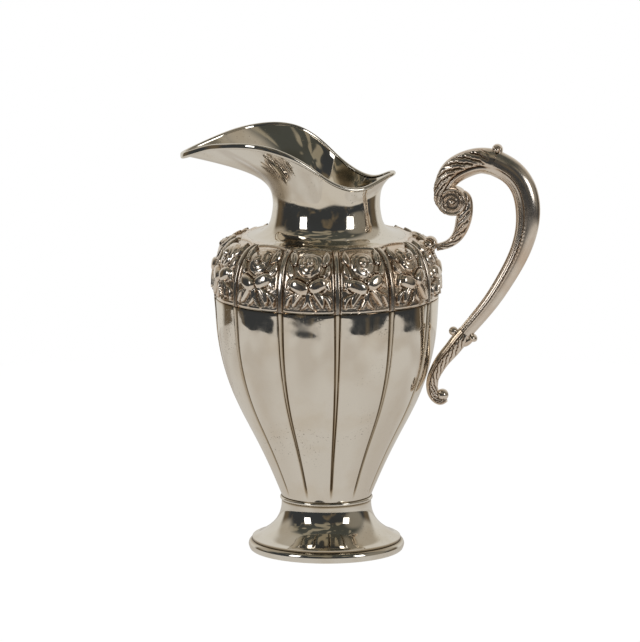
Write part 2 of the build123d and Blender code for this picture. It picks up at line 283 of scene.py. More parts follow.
foot_outer = smooth_line(FOOT_SIDE, 48)
foot_inner = inset(foot_outer, -SHEET)[::-1]
foot = turned("spun_foot", [*foot_outer, *FOOT_EDGE, *foot_inner])
grime(foot, FOOT_HOLLOWS, FOOT_HOLLOW_REACH)
fit(foot, FOOT_SILVER, "foot_silver", "foot")

# Collar bead
# A drawn silver wire bent round the waist and soldered over the joint of foot and body.

COLLAR_LOW, COLLAR_HIGH = 32.4, 34.7
COLLAR_INNER, COLLAR_OUTER = 25.9, 28.5
COLLAR_BULGE = 1.0
COLLAR_HOLLOW_REACH = 0.5
bead_turns = np.linspace(-pi / 2, pi / 2, 15)
bead_middle = (COLLAR_LOW + COLLAR_HIGH) / 2
bead_half = (COLLAR_HIGH - COLLAR_LOW) / 2
bead_round = [
    (COLLAR_OUTER + COLLAR_BULGE * cos(turn), bead_middle + bead_half * sin(turn)) for turn in bead_turns
]
bead = turned("collar_bead_wire", [(COLLAR_INNER, COLLAR_LOW), *bead_round, (COLLAR_INNER, COLLAR_HIGH)])
grime(bead, [(COLLAR_OUTER, COLLAR_LOW), (COLLAR_OUTER, COLLAR_HIGH)], COLLAR_HOLLOW_REACH)
fit(bead, FOOT_SILVER, "foot_silver", "collar_bead")

# Lower body
# Raised from one sheet in twelve lobes that meet at narrow ribs. The ribs are chased with a
# line on each side and run out to a single line above the collar.

LOBES = 12
LOBE = 2 * pi / LOBES
BODY_LOW, BODY_SPLIT = 34.7, 163.5
BODY_JOINT = (71.4, BODY_SPLIT)
BODY_SIDE = [
    (28.4, BODY_LOW), (37.3, 55.3), (47.4, 75.9), (57.8, 96.5), (65.3, 117.1), (69.9, 140.3), BODY_JOINT,
    (71.75, 174.4), (70.4, 183.8), (66.8, 192.8), (61.0, 199.2), (50.0, 202.6),
]
FLUTE_DEPTH = 1.3
INNER_FLUTE_SHARE = 0.8
FLOOR, FLOOR_RADIUS = 1.5, 26.6
RIB_RISE = 0.8
RIB_HALF_LOW, RIB_HALF_HIGH = 0.25, 1.6
RIB_LINE_DEPTH = 0.75
RIB_LINE_WIDTH = 0.55
BROW_DEPTH, BROW_WIDTH = 0.12, 0.7
INSIDE_HOLLOW = 0.3
body_line = smooth_line(BODY_SIDE, 600)
body_split = int(np.argmin(np.abs(body_line[:, 1] - BODY_SPLIT)))


def lobe_bearings(smooth, fine, rib_share):
    """Bearings across one lobe, closer together at the ribs, for all the lobes in turn."""
    half = np.concatenate((
        np.linspace(0, 1 - rib_share, smooth, endpoint=False),
        np.linspace(1 - rib_share, 1, fine, endpoint=False),
    )) * LOBE / 2
    across = np.concatenate((-half[:0:-1], half, [LOBE / 2]))
    return across, np.concatenate([across + lobe * LOBE for lobe in range(LOBES)])


def skin(name, points, hollow, ring_of_rows=False):
    """A skin over rows of points, each row a closed ring. The end rows are capped, unless
    the rows close on each other. The hollow of each point stays with the mesh."""
    rows, columns, _ = points.shape
    index = np.arange(rows * columns).reshape(rows, columns)
    beside = np.roll(index, -1, axis=1)
    upper = np.roll(index, -1, axis=0) if ring_of_rows else index[1:]
    upper_beside = np.roll(upper, -1, axis=1)
    count = rows if ring_of_rows else rows - 1
    quads = np.stack([index[:count], beside[:count], upper_beside, upper], axis=-1).reshape(-1, 4)
    faces = quads.tolist()
    if not ring_of_rows:
        faces += [index[0].tolist()[::-1], index[-1].tolist()]
    piece = as_piece(name, points.reshape(-1, 3), [], faces)
    marks = piece.data.attributes.new(HAS_HOLLOWS, "FLOAT", "POINT")
    marks.data.foreach_set("value", np.clip(hollow, 0, 1).astype(np.float32).reshape(-1))
    outward(piece)
    return piece


def round_body(line, rise, bearings):
    """Points of the body's side line at every bearing, moved out square to the side."""
    along = np.gradient(line, axis=0)
    along /= np.linalg.norm(along, axis=1)[:, None]
    radius = line[:, :1] + rise * along[:, 1:]
    height = line[:, 1:] - rise * along[:, :1]
    return np.stack([radius * np.cos(bearings), radius * np.sin(bearings), height + 0 * radius], axis=-1)


def rib_relief(from_rib, half_width):
    """The raised rib and the chased line on each side of it."""
    crown = np.sqrt(np.clip(1 - (from_rib / half_width) ** 2, 0, 1))
    line = np.exp(-(((from_rib - half_width) / RIB_LINE_WIDTH) ** 2))
    return crown, line


lobe_across, body_bearings = lobe_bearings(smooth=9, fine=14, rib_share=0.26)
bowl_line = smooth_line(body_line[: body_split + 1], 112)
bowl_line[-1] = BODY_JOINT
rise_share = (bowl_line[:, 1:] - BODY_LOW) / (BODY_SPLIT - BODY_LOW)
across = np.abs(np.tile(lobe_across, LOBES))[None, :]
from_rib = bowl_line[:, :1] * (LOBE / 2 - across)
rib_half = RIB_HALF_LOW + (RIB_HALF_HIGH - RIB_HALF_LOW) * np.clip(rise_share, 0, 1) ** 1.3
crown, line_mark = rib_relief(from_rib, rib_half)
fade = np.clip((rise_share - 0.015) / 0.06, 0, 1)
flute = FLUTE_DEPTH * np.clip(rise_share, 0, 1) ** 0.6
flute = flute * (1 - 0.45 * np.clip((rise_share - 0.82) / 0.18, 0, 1) ** 2)
bowl_rise = -flute * (across / (LOBE / 2)) ** 2
rib_rise = RIB_RISE * rib_half / RIB_HALF_HIGH * crown
bowl_rise = bowl_rise + fade * (rib_rise - RIB_LINE_DEPTH * line_mark)
brow = np.exp(-(((bowl_line[:, 1:] - BODY_SPLIT) / BROW_WIDTH) ** 2))
bowl_rise = bowl_rise - BROW_DEPTH * brow * (1 - crown)
bowl_hollow = fade * (0.85 * line_mark + 0.15 * crown) + 0.4 * brow
bowl_outer = round_body(bowl_line, bowl_rise, body_bearings)
inner_line = smooth_line(inset(bowl_line, SHEET)[::-1], 16)
above_floor = inner_line[:, 1] > BODY_LOW + FLOOR + 0.5
inner_line = np.concatenate([inner_line[above_floor], [(FLOOR_RADIUS, BODY_LOW + FLOOR)]])
inner_share = np.clip((inner_line[:, 1:] - BODY_LOW) / (BODY_SPLIT - BODY_LOW), 0, 1)
inner_rise = -FLUTE_DEPTH * INNER_FLUTE_SHARE * inner_share**0.6 * (across / (LOBE / 2)) ** 2
bowl_inner = round_body(inner_line[::-1], inner_rise[::-1], body_bearings)[::-1]
bowl_points = np.concatenate([bowl_outer, bowl_inner])
bowl_marks = np.concatenate([bowl_hollow + 0 * across, np.full(bowl_inner.shape[:2], INSIDE_HOLLOW)])
BODY_SILVER = silver(
    "body_silver", bright=(0.87, 0.82, 0.735), warm=(0.70, 0.57, 0.40), dark=(0.09, 0.065, 0.04),
    film=0.35, pitting=0.8, dent=0.36,
)
bowl = skin("lobed_bowl", bowl_points, bowl_marks)
fit(bowl, BODY_SILVER, "body_silver", "bowl")

# Shoulder
# The upper body, chased from the outside on each lobe: a rose over two folded petals and a
# pair of leaves on matted ground, between a line below and a scalloped line above.

chaser = np.random.RandomState(11)
band_across, band_bearings = lobe_bearings(smooth=25, fine=10, rib_share=0.2)
band_line = smooth_line(body_line[body_split:], 104)
band_line[0] = BODY_JOINT
climb = np.concatenate(([0], np.cumsum(np.linalg.norm(np.diff(band_line, axis=0), axis=1))))[:, None]

ROSE_HALF_WIDTH, ROSE_HALF_HEIGHT = 8.0, 9.2
ROSE_BASE = 1.2
ROSE_TIERS = [(1.0, 5, 3.0, 0.3), (0.66, 3, 4.0, 1.0)]
ROSE_SCALLOP, ROSE_OVERLAP, ROSE_CUP = 0.18, 0.40, 0.40
ROSE_BUD_SHARE, ROSE_BUD_RISE, ROSE_BUD_WRAP = 0.33, 3.9, 0.8


def rose(s, t, middle, spin, mirror):
    """Two tiers of petals that overlap like tiles round a wrapped bud."""
    side, up = mirror * (s - middle[0]), t - middle[1]
    way = np.arctan2(up, side) + spin
    far = np.hypot(side / ROSE_HALF_WIDTH, up / ROSE_HALF_HEIGHT)
    layers = [ROSE_BASE * np.clip(1 - far**6, 0, 1) ** 0.5]
    for size, petals, rise, twist in ROSE_TIERS:
        share = (way + twist) * petals / (2 * pi)
        share = share - np.floor(share)
        out = far / size / (1 - ROSE_SCALLOP * (1 - np.sin(pi * share) ** 0.6))
        overlap = 1 - ROSE_OVERLAP * (1 - share)
        cup = 1 - ROSE_CUP * (1 - np.minimum(out, 1) ** 2)
        layers.append(rise * overlap * cup * np.clip(1 - out**5, 0, 1) ** 0.5)
    wrap = np.clip(np.cos(way - 12 * far), 0, 1) ** 2
    bud = np.clip(1 - (far / ROSE_BUD_SHARE) ** 4, 0, 1) ** 0.5
    layers.append((ROSE_BUD_RISE - ROSE_BUD_WRAP * wrap) * bud)
    return np.max(layers, axis=0)


PETAL_EDGE = 1.0


def folded_petal(s, t, middle, size, turn, rise):
    """A petal folded over under the rose: a flat-topped roll with a thin turned edge."""
    side, up = s - middle[0], t - middle[1]
    u = (side * cos(turn) + up * sin(turn)) / size[0]
    v = (up * cos(turn) - side * sin(turn)) / size[1]
    out = (np.abs(u) ** 2.8 + np.abs(v) ** 2.4) ** 0.4
    roll = rise * np.clip(1 - out**3.4, 0, 1) ** 0.5 * (1 + 0.12 * v)
    return np.maximum(roll, PETAL_EDGE * np.exp(-(((out - 1.2) / 0.09) ** 2)))


def leaf(s, t, root, tip, width, bend, rise):
    """One pointed lobe of a leaf, bent sideways, with a vein sunk along its middle."""
    root, tip = np.array(root, float), np.array(tip, float)
    length = np.hypot(*(tip - root))
    along = (tip - root) / length
    u = ((s - root[0]) * along[0] + (t - root[1]) * along[1]) / length
    v = (t - root[1]) * along[0] - (s - root[0]) * along[1]
    v = v - bend * np.sin(pi * np.clip(u, 0, 1))
    half = width * np.sin(pi * np.clip(u, 0, 1) ** 0.8) ** 0.75 + 0.001
    dome = rise * np.clip(1 - np.abs(v / half) ** 2, 0, 1) ** 0.55 * ((u > 0) & (u < 1))
    vein = 0.25 * width * np.exp(-((v / 0.4) ** 2)) * np.clip((0.8 - u) / 0.3, 0, 1)
    return np.clip(dome - vein * (dome > 0.3), 0, None)


ROSE_PLACE = 32.6
LEFT_PETAL_PLACE, RIGHT_PETAL_PLACE = (-5.8, 18.0), (6.0, 19.4)
LEAVES = [
    ((0.9, 15.5), (5.6, 2.4), 1.5, -2.2, 1.9), ((3.4, 15.8), (9.8, 4.6), 2.9, 1.4, 2.5),
    ((9.4, 13.0), (14.2, 3.2), 1.7, 1.9, 1.9), ((9.4, 24.6), (14.6, 15.6), 2.4, -1.0, 1.6),
    ((10.4, 23.0), (12.4, 33.0), 2.3, -0.8, 2.0), ((9.4, 31.0), (9.8, 43.6), 2.8, -1.0, 2.3),
]


def spray(s, t, mirror):
    """Height of one lobe's flowers and leaves over its ground."""
    nudge = chaser.uniform(-0.6, 0.6, 6)
    left = (LEFT_PETAL_PLACE[0], LEFT_PETAL_PLACE[1] + nudge[3])
    right = (RIGHT_PETAL_PLACE[0], RIGHT_PETAL_PLACE[1] + nudge[4])
    layers = [
        rose(s, t, (nudge[0], ROSE_PLACE + nudge[1]), 0.35 * nudge[2], mirror),
        folded_petal(s, t, left, size=(6.6, 4.3), turn=-0.42, rise=3.4),
        folded_petal(s, t, right, size=(6.2, 4.3), turn=0.55, rise=3.3),
    ]
    for side in (-1, 1):
        for root, tip, width, bend, rise in LEAVES:
            wander = 0.5 * nudge[5] * side
            end = (side * tip[0] + wander, tip[1] + wander)
            layers.append(leaf(s, t, (side * root[0], root[1]), end, width, side * bend, rise))
    return np.max(layers, axis=0)


def soften(values, reach):
    """Mean over a square of neighbours, for finding what lies low."""
    total = np.zeros_like(values)
    for step in range(-reach, reach + 1):
        total += np.roll(values, step, axis=1)
    sides = total / (2 * reach + 1)
    padded = np.pad(sides, ((reach, reach), (0, 0)), mode="edge")
    rows = len(values)
    return sum(padded[step : step + rows] for step in range(2 * reach + 1)) / (2 * reach + 1)


FIELD_LOW, FIELD_TOP, FIELD_TOP_DROP = 1.3, 47.6, 3.4
FIELD_HALF_WIDTH = 13.5
FIELD_DEPTH, FIELD_LINE_DEPTH = 0.5, 0.55
FIELD_LIP_RISE = 0.5
CLEAR_OF_RIB = 2.5
MATTING_DEPTH = 0.06
BAND_RIB_RISE = 1.3
BAND_LINE_DEPTH = 0.45
INNER_FLUTE_TOP = 196

side_way = band_line[:, :1] * band_across[None, :]
arc = FIELD_TOP - FIELD_TOP_DROP * (side_way / FIELD_HALF_WIDTH) ** 2
under_arc = np.clip((arc - climb) / 0.6, 0, 1)
over_line = np.clip((climb - FIELD_LOW - 0.3) / 0.8, 0, 1)
from_side = band_line[:, :1] * (LOBE / 2 - np.abs(band_across))[None, :]
inside_ribs = np.clip((from_side - CLEAR_OF_RIB) / 0.5, 0, 1)
field = under_arc * over_line * inside_ribs
edge_line = np.exp(-(((climb - arc) / 0.45) ** 2)) + np.exp(-(((climb - FIELD_LOW) / 0.5) ** 2))
edge_line = edge_line * (from_side > CLEAR_OF_RIB - 0.1)
lip = FIELD_LIP_RISE * np.exp(-(((climb - arc - 1.0) / 0.7) ** 2)) * inside_ribs
lobe_reliefs, lobe_grounds = [], []
for lobe in range(LOBES):
    relief = spray(side_way, climb + 0 * side_way, 1 if lobe % 2 else -1)
    ground = field * (relief < 0.15)
    matting = chaser.uniform(-1, 1, relief.shape) * MATTING_DEPTH * ground
    chased = (relief + matting - FIELD_DEPTH) * field
    lobe_reliefs.append(chased + lip - FIELD_LINE_DEPTH * edge_line)
    lobe_grounds.append(ground)
band_rise = np.concatenate(lobe_reliefs, axis=1)
band_ground = np.concatenate(lobe_grounds, axis=1)
across = np.abs(np.tile(band_across, LOBES))[None, :]
from_rib = band_line[:, :1] * (LOBE / 2 - across)
band_share = climb / climb[-1]
crown, line_mark = rib_relief(from_rib, RIB_HALF_HIGH + 0.3 * np.sin(pi * band_share))
fade = np.clip((FIELD_TOP - 0.1 - climb) / 3, 0, 1)
band_rise = band_rise - FLUTE_DEPTH * (1 - band_share**3) * (across / (LOBE / 2)) ** 2
band_rise = band_rise + fade * (BAND_RIB_RISE * crown - BAND_LINE_DEPTH * line_mark)
band_rise[0] = bowl_rise[-1].min()
band_rise[-1] = 0
low_ground = np.clip((soften(band_rise, 2) - band_rise - 0.04) / 0.55, 0, 1)
band_hollow = np.maximum(low_ground, 0.12 * band_ground) + fade * 0.5 * line_mark
band_outer = round_body(band_line, band_rise, band_bearings)
inner_line = smooth_line(inset(band_line, SHEET)[::-1], 12)
fluted_inside = INNER_FLUTE_SHARE * (inner_line[:, 1:] < INNER_FLUTE_TOP)
inner_rise = -FLUTE_DEPTH * fluted_inside * (across / (LOBE / 2)) ** 2
band_inner = round_body(inner_line[::-1], inner_rise[::-1], band_bearings)[::-1]
band_points = np.concatenate([band_outer, band_inner])
band_marks = np.concatenate([band_hollow, np.full(band_inner.shape[:2], INSIDE_HOLLOW)])
CHASED_SILVER = silver(
    "chased_silver", bright=(0.93, 0.86, 0.77), warm=(0.79, 0.60, 0.43), dark=(0.13, 0.085, 0.055),
    film=0.8, pitting=0.3, dent=0.1, satin=0.10,
)
shoulder = skin("rose_shoulder", band_points, band_marks, ring_of_rows=True)
fit(shoulder, CHASED_SILVER, "body_silver", "rose_band")

# Neck and spout
# Raised in one sheet from the flange inside the shoulder to the rim: a waisted neck that
# opens to a helmet-shaped mouth, low at the handle and drawn out to a pouring lip.

RIM_STATIONS = [
    (0, 44.0, 243.4, 42), (15, 41.6, 242.0, 45), (30, 38.6, 238.7, 50), (45, 36.9, 236.8, 56),
    (60, 36.0, 238.0, 62), (75, 36.1, 242.0, 68), (90, 38.0, 248.6, 68), (105, 45.0, 256.8, 60),
    (120, 55.6, 263.8, 50), (135, 64.2, 265.5, 43), (150, 71.2, 263.4, 34), (165, 79.6, 258.6, 22),
    (180, 93.6, 251.4, 10.6),
]
NECK_RADIUS, NECK_LOW, THROAT = 33.9, 202.6, 222.0
NECK_SIDE = [
    (45.0, 203.3), (41.0, 205.0), (38.0, 207.5), (35.85, 211.0), (34.8, 215.0), (34.15, 219.0),
]
FLANGE_RADIUS = 49.92
RIM_WIRE_RISE = 1.3
FLARE_START = 227.0
FLARE_SLOPE = 0.1
FLARE_REACH = 0.79
FRONT_FLARE = [0.34, 0.28]
PLAIN_SHARE = 0.53
UNDER_LIP_LOW, UNDER_LIP_HIGH = 224, 252
UNDER_LIP_FROM, UNDER_LIP_TO = 118, 172
UNDER_LIP_HOLLOW = 0.6

stations = np.array(RIM_STATIONS, float)
mirrored_start = stations[2:0:-1] * [-1, 1, 1, 1]
mirrored_end = stations[-2:-4:-1] * [-1, 1, 1, 1] + [360, 0, 0, 0]
stations = np.concatenate([mirrored_start, stations, mirrored_end])
mouth_bearings = np.radians(np.arange(0, 360, 1.0))
folded = np.degrees(np.minimum(mouth_bearings, 2 * pi - mouth_bearings))
reach, height, slope = spline(stations[:, 0], stations[:, 1:], folded).T
slope = np.radians(slope)
rim_along = np.stack([np.cos(slope), np.sin(slope)], axis=-1)
rim_inward = np.stack([-rim_along[:, 1], rim_along[:, 0]], axis=-1)
rim_end = np.stack([reach, height], axis=-1) - rim_along * RIM_WIRE_RISE
front_part = (np.clip((118 - folded) / 28, 0, 1) * np.clip((folded - 30) / 25, 0, 1))[:, None]
flare = FLARE_REACH * (rim_end[:, 0] - NECK_RADIUS) / rim_along[:, 0]
front_point = rim_end - (rim_end - [NECK_RADIUS, THROAT]) * FRONT_FLARE
flare_point = (rim_end - rim_along * flare[:, None]) * (1 - front_part) + front_point * front_part


def bezier(corners, count):
    """Points of a cubic from its four corners."""
    share = np.linspace(0, 1, count)[:, None, None]
    first, second, third, fourth = corners
    return (
        (1 - share) ** 3 * first + 3 * share * (1 - share) ** 2 * second
        + 3 * share**2 * (1 - share) * third + share**3 * fourth
    )


def mouth_wall(offset, count, throat_share):
    """Reach and height of the mouth's sheet from throat to rim, at every bearing."""
    radius = np.full_like(reach, NECK_RADIUS - offset)
    climb = np.minimum(throat_share * (rim_end[:, 1] - THROAT), 0.85 * (flare_point[:, 1] - THROAT))
    base = np.stack([radius, np.full_like(reach, THROAT)], axis=-1)
    raised = np.stack([radius, THROAT + climb + offset / 2], axis=-1)
    inner = rim_inward * offset
    return bezier((base, raised, flare_point + inner, rim_end + inner), count)


def turning_height(throat_share):
    """Height at which the mouth's sheet starts to lean out, at every bearing."""
    sheet = mouth_wall(0, 80, throat_share)
    steps = np.diff(sheet, axis=0)
    leaning = steps[..., 0] > FLARE_SLOPE * steps[..., 1]
    leaning[-1] = True
    return sheet[np.argmax(leaning, axis=0), np.arange(len(mouth_bearings)), 1]


shares = np.linspace(0.02, 0.6, 59)
turning = np.array([turning_height(share) for share in shares])
fitted_share = shares[np.argmin(np.abs(turning - FLARE_START), axis=0)]
fitted_share = sum(np.roll(fitted_share, step) for step in range(-9, 10)) / 19
plain_part = np.clip(np.maximum((55 - folded) / 25, (folded - 145) / 25), 0, 1)
throat_share = fitted_share + (PLAIN_SHARE - fitted_share) * plain_part**2 * (3 - 2 * plain_part)


def neck_wall(offset, count):
    """Reach and height of the neck from its flange to the throat, the same all round."""
    side = [(FLANGE_RADIUS, NECK_LOW), *NECK_SIDE, (NECK_RADIUS, THROAT)]
    line = inset(smooth_line(side, count), offset)
    line[0] = FLANGE_RADIUS, NECK_LOW - offset
    line[-1] = NECK_RADIUS - offset, THROAT
    return np.repeat(line[:, None, :], len(mouth_bearings), axis=1)


def around(rows):
    """Points at every bearing of the mouth from rows of reach and height."""
    reach, height = rows[..., 0], rows[..., 1]
    return np.stack([reach * np.cos(mouth_bearings), reach * np.sin(mouth_bearings), height], axis=-1)


outer_wall = np.concatenate([neck_wall(0, 34), mouth_wall(0, 44, throat_share)[1:]])
inner_wall = np.concatenate([neck_wall(SHEET, 20), mouth_wall(SHEET, 40, throat_share)[1:]])[::-1]
wall = np.concatenate([outer_wall, inner_wall])
over_throat = np.clip((wall[..., 1] - UNDER_LIP_LOW) / 6, 0, 1)
under_rim = np.clip((UNDER_LIP_HIGH - wall[..., 1]) / 8, 0, 1)
past_front = np.clip((folded - UNDER_LIP_FROM) / 14, 0, 1)
before_tip = np.clip((UNDER_LIP_TO - folded) / 14, 0, 1)
under_lip = over_throat * under_rim * past_front * before_tip
neck = skin("neck_and_lip", around(wall), UNDER_LIP_HOLLOW * under_lip, ring_of_rows=True)
NECK_SILVER = silver(
    "neck_silver", bright=(0.87, 0.825, 0.74), warm=(0.66, 0.54, 0.38), dark=(0.09, 0.065, 0.04),
    film=0.45, pitting=0.55, dent=0.22,
)
fit(neck, NECK_SILVER, "body_silver", "neck_and_spout")

# Rim wire
# A drawn wire soldered on the edge of the mouth, that stiffens it and takes the knocks. It is
# round over most of the edge and filed to a taller, flatter band along the lip.

RIM_WIRE_HALF = 1.35
LIP_BAND_HALF = 2.05
LIP_BAND_FROM, LIP_BAND_FULL = 86, 120

lip_share = np.clip((folded - LIP_BAND_FROM) / (LIP_BAND_FULL - LIP_BAND_FROM), 0, 1)[:, None]
lip_share = lip_share**2 * (3 - 2 * lip_share)
upright = rim_along * (1 - lip_share) + np.array([0.0, 1.0]) * lip_share
upright /= np.linalg.norm(upright, axis=1)[:, None]
outwards = np.stack([upright[:, 1], -upright[:, 0]], axis=-1)
half_height = RIM_WIRE_HALF + (LIP_BAND_HALF - RIM_WIRE_HALF) * lip_share
squareness = 2 / (2 + 0.9 * lip_share)
wire_line = rim_end + rim_inward * SHEET / 2 + rim_along * 0.2
wire_line = wire_line - upright * 0.75 * (half_height - RIM_WIRE_HALF)
rim_rows = []
for turn in np.linspace(0, 2 * pi, 20, endpoint=False):
    along_out = np.sign(cos(turn)) * np.abs(cos(turn)) ** squareness * RIM_WIRE_HALF
    along_up = np.sign(sin(turn)) * np.abs(sin(turn)) ** squareness * half_height
    rim_rows.append(wire_line + outwards * along_out + upright * along_up)
rim_points = around(np.array(rim_rows))
rim = skin("rim_wire_round", rim_points, np.zeros(rim_points.shape[:2]), ring_of_rows=True)
fit(rim, FOOT_SILVER, "foot_silver", "rim_wire")

# Grip
# A hollow grip of two stampings soldered along its middle. The back is round and polished;
# the inside is flatter, between a raised line and a fillet, and beaded low down.

GRIP_LINE = [
    (107.0, 251.7, 16.6, 13.4), (117.4, 246.2, 16.2, 13.4), (125.2, 236.6, 16.0, 13.2),
    (128.4, 224.2, 15.8, 12.8), (127.7, 209.3, 14.3, 12.0), (122.9, 193.6, 12.6, 11.2),
    (114.9, 178.0, 11.4, 10.4), (104.9, 162.2, 10.4, 9.6), (92.4, 146.4, 9.4, 9.0), (85.7, 138.2, 8.8, 8.6),
]


def limb(name, line, relief, rows, columns=72):
    """A casting along a line of places, widths and depths in the handle's plane. The relief
    gives the height of its chasing from the way along, the way across and the side."""
    path = smooth_line(line, rows)
    along = np.gradient(path[:, :2], axis=0)
    along[0] = path[1, :2] - path[0, :2]
    along /= np.linalg.norm(along, axis=1)[:, None]
    sideways = np.stack([along[:, 1], -along[:, 0]], axis=-1)
    far = np.concatenate(([0], np.cumsum(np.linalg.norm(np.diff(path[:, :2], axis=0), axis=1))))[:, None]
    turn = np.linspace(0, 2 * pi, columns, endpoint=False)[None, :]
    across, side = np.cos(turn), np.sin(turn)
    rise = relief(far, across + 0 * far, side + 0 * far)
    half_width, half_depth = path[:, 2:3] / 2, path[:, 3:4] / 2
    normal = np.stack([across / half_width, side / half_depth + 0 * half_width], axis=-1)
    normal /= np.linalg.norm(normal, axis=-1)[..., None]
    offset = across * half_width + normal[..., 0] * rise
    depth = side * half_depth + normal[..., 1] * rise
    points = np.stack(
        [path[:, :1] + offset * sideways[:, :1], depth, path[:, 1:2] + offset * sideways[:, 1:2]], axis=-1
    )
    low = np.clip((soften(rise, 3) - rise) / 0.35, 0, 1)
    return skin(name, points, low)


def ridge(across, place, width, rise):
    """A raised line, or a sunk one, at a place across the casting."""
    return rise * np.exp(-(((across - place) / width) ** 2))


STRIP_DEPTH = 0.6
BEAD_RISE, BEAD_STEP = 0.17, 2.6
BEADS_START, BEADS_END = 48, 84


def grip_relief(far, across, side):
    """A flatter strip along the inside between two lines, with small beads for a third of it."""
    strip = np.clip((across - 0.16) / 0.08, 0, 1) * np.clip((0.97 - across) / 0.08, 0, 1)
    beads = BEAD_RISE * np.cos(2 * pi * far / BEAD_STEP) * np.exp(-(((across - 0.2) / 0.12) ** 2))
    beaded = np.clip((far - BEADS_START) / 6, 0, 1) * np.clip((BEADS_END - far) / 16, 0, 1)
    lines = ridge(across, 0.13, 0.09, 0.35) + ridge(across, 0.74, 0.09, 0.25)
    lines = lines + ridge(across, 0.26, 0.07, -0.25)
    return np.clip((far - 1) / 7, 0, 1) * (lines - STRIP_DEPTH * strip) + beads * beaded


HANDLE_SILVER = silver(
    "handle_silver", bright=(0.89, 0.81, 0.72), warm=(0.72, 0.53, 0.38), dark=(0.07, 0.05, 0.032),
    film=0.7, pitting=0.3, dent=0.1, satin=0.15,
)
grip = limb("polished_grip", GRIP_LINE, grip_relief, 300, 150)
fit(grip, HANDLE_SILVER, "handle_silver", "handle_grip")

# Upper scroll
# One casting: the arch that carries the grip, wrapped by an acanthus leaf, and the volute
# that it curls into, with a spiral cut on both sides.

SCROLL_LINE = [
    (107.2, 251.7, 16.7, 13.5), (99.0, 252.7, 17.0, 13.8), (89.5, 250.3, 17.4, 14.0),
    (80.9, 245.0, 16.6, 13.6), (75.6, 237.0, 13.6, 12.6), (74.0, 229.0, 10.6, 11.6),
    (76.6, 222.6, 8.0, 10.6), (81.6, 220.6, 6.0, 9.6),
]
VOLUTE_CENTRE = (80.9, 226.6)
VOLUTE_RADIUS = 9.6
VOLUTE_HALF_DEPTH = 6.2
COIL_STEP = 2.9


def leaflets(far, across, step, slant, rise, low, high):
    """Overlapping leaflets that slant over the side, each with a vein, between two edges."""
    wander = 0.5 * np.sin(0.9 * far) + 0.3 * np.sin(2.3 * far + 1.0)
    phase = (far + slant * across + wander) / step
    share = phase - np.floor(phase)
    body = np.sin(pi * share) ** 0.6 * (1 - 0.35 * share)
    vein = 0.22 * np.exp(-(((share - 0.45) / 0.09) ** 2))
    edges = np.clip((across - low) / 0.14, 0, 1) * np.clip((high - across) / 0.14, 0, 1)
    return rise * (body - vein) * edges


def scroll_relief(far, across, side):
    """Leaflets over the outer part of the arch and a plain fillet along its inner edge."""
    reach = np.clip((far - 3) / 6, 0, 1) * np.clip((64 - far) / 8, 0, 1)
    cover = leaflets(far, across, step=7.6, slant=-18.0, rise=1.8, low=-0.3, high=0.92)
    fillet = ridge(across, -0.52, 0.09, 0.4) + ridge(across, -0.36, 0.06, -0.45)
    return reach * (cover - 0.35) + np.clip((far - 1) / 7, 0, 1) * fillet


def volute(name, centre, radius, half_depth):
    """The rolled end of the scroll: a flat button with a spiral ridge on both faces."""
    rings, columns = 46, 96
    share = np.concatenate((np.linspace(0.02, 1, rings), np.linspace(1, 0.02, rings)[1:]))[:, None]
    face = np.concatenate((np.ones(rings), -np.ones(rings - 1)))[:, None]
    turn = np.linspace(0, 2 * pi, columns, endpoint=False)[None, :]
    coil = 2 * np.clip(np.cos(2 * pi * (share * radius / COIL_STEP) - turn), 0, 1) ** 1.6 - 1
    coil = 0.5 * coil * np.clip((share - 0.1) / 0.1, 0, 1) * np.clip((0.8 - share) / 0.08, 0, 1)
    eye = 1.4 * np.sqrt(np.clip(1 - (share / 0.17) ** 2, 0, 1))
    rim = 0.8 * np.exp(-(((share - 0.88) / 0.09) ** 2))
    depth = half_depth * np.sqrt(np.clip(1 - share**8, 0, 1)) + (coil + eye + rim) * (share < 0.985)
    hollow = np.clip(-0.5 * coil, 0, 1) * (share < 0.84)
    points = np.stack([
        centre[0] + share * radius * np.cos(turn), face * depth, centre[1] + share * radius * np.sin(turn)
    ], axis=-1)
    return skin(name, points, hollow + 0 * turn)


CAST_SILVER = silver(
    "cast_silver", bright=(0.88, 0.79, 0.69), warm=(0.68, 0.47, 0.31), dark=(0.05, 0.03, 0.018),
    film=0.8, pitting=0.3, dent=0.08, satin=0.12,
)
arch = limb("scroll_arch", SCROLL_LINE, scroll_relief, 240, 112)
curl = volute("scroll_volute", VOLUTE_CENTRE, VOLUTE_RADIUS, VOLUTE_HALF_DEPTH)
fit(arch, CAST_SILVER, "cast_silver", "handle_scroll")
fit(curl, CAST_SILVER, "cast_silver")

# Top bud
# The tip of the acanthus leaf, curled over into a small bud where the grip begins.

def bud(name, place, radius, stretch=(1, 1, 1), turn=0.0):
    """A cast bud: a ball drawn out a little and turned in the handle's plane."""
    bpy.ops.object.select_all(action="DESELECT")
    bpy.ops.mesh.primitive_uv_sphere_add(segments=40, ring_count=24, radius=radius * MM)
    piece = bpy.context.object
    piece.name = piece.data.name = name
    piece.scale = stretch
    piece.rotation_euler = (0, turn, 0)
    piece.location = [value * MM for value in place]
    bpy.ops.object.transform_apply(location=True, rotation=True, scale=True)
    outward(piece)
    return piece


def plain(far, across, side):
    """No relief."""
    return 0 * across


